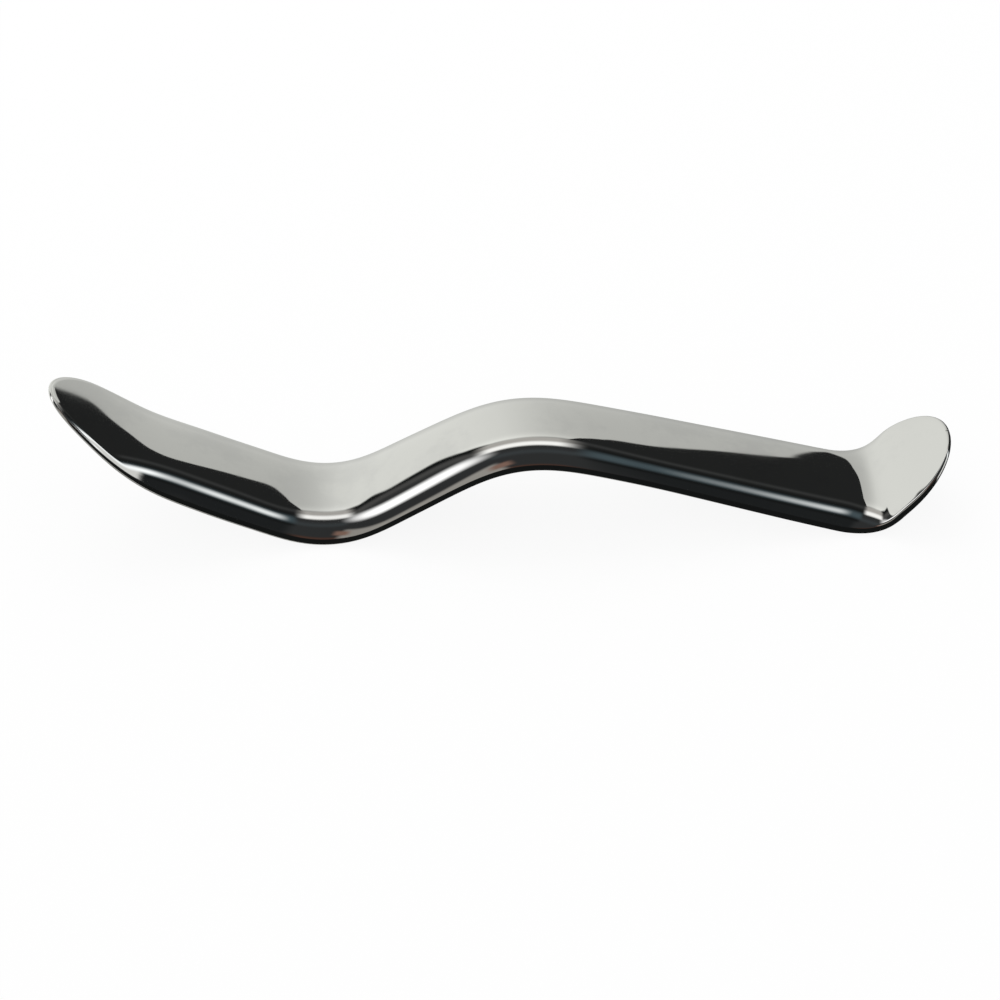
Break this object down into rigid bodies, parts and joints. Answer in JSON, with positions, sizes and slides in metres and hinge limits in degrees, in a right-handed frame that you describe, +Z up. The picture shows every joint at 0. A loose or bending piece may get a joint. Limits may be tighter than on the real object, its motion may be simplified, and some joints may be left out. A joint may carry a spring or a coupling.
{
  "type": "surgical retractor",
  "caption": "One-piece double-ended cheek retractor: a polished steel strip, arched across, with a long tongue blade, a bent handle and a short upturned spade blade.",
  "frame": {"origin": "under the middle of the part, on the table that it lies on", "axes": "+X along the part from the tongue blade to the spade blade, +Z up, mirror plane at y = 0; it lies convex side up, on its lower rims at the valley bend and the heel bend"},
  "size_m": [0.1516, 0.0216, 0.0275],
  "materials": {
    "steel": "mirror polished"
  },
  "bodies": {
    "root": {"retractor": "steel"}
  },
  "joints": []
}
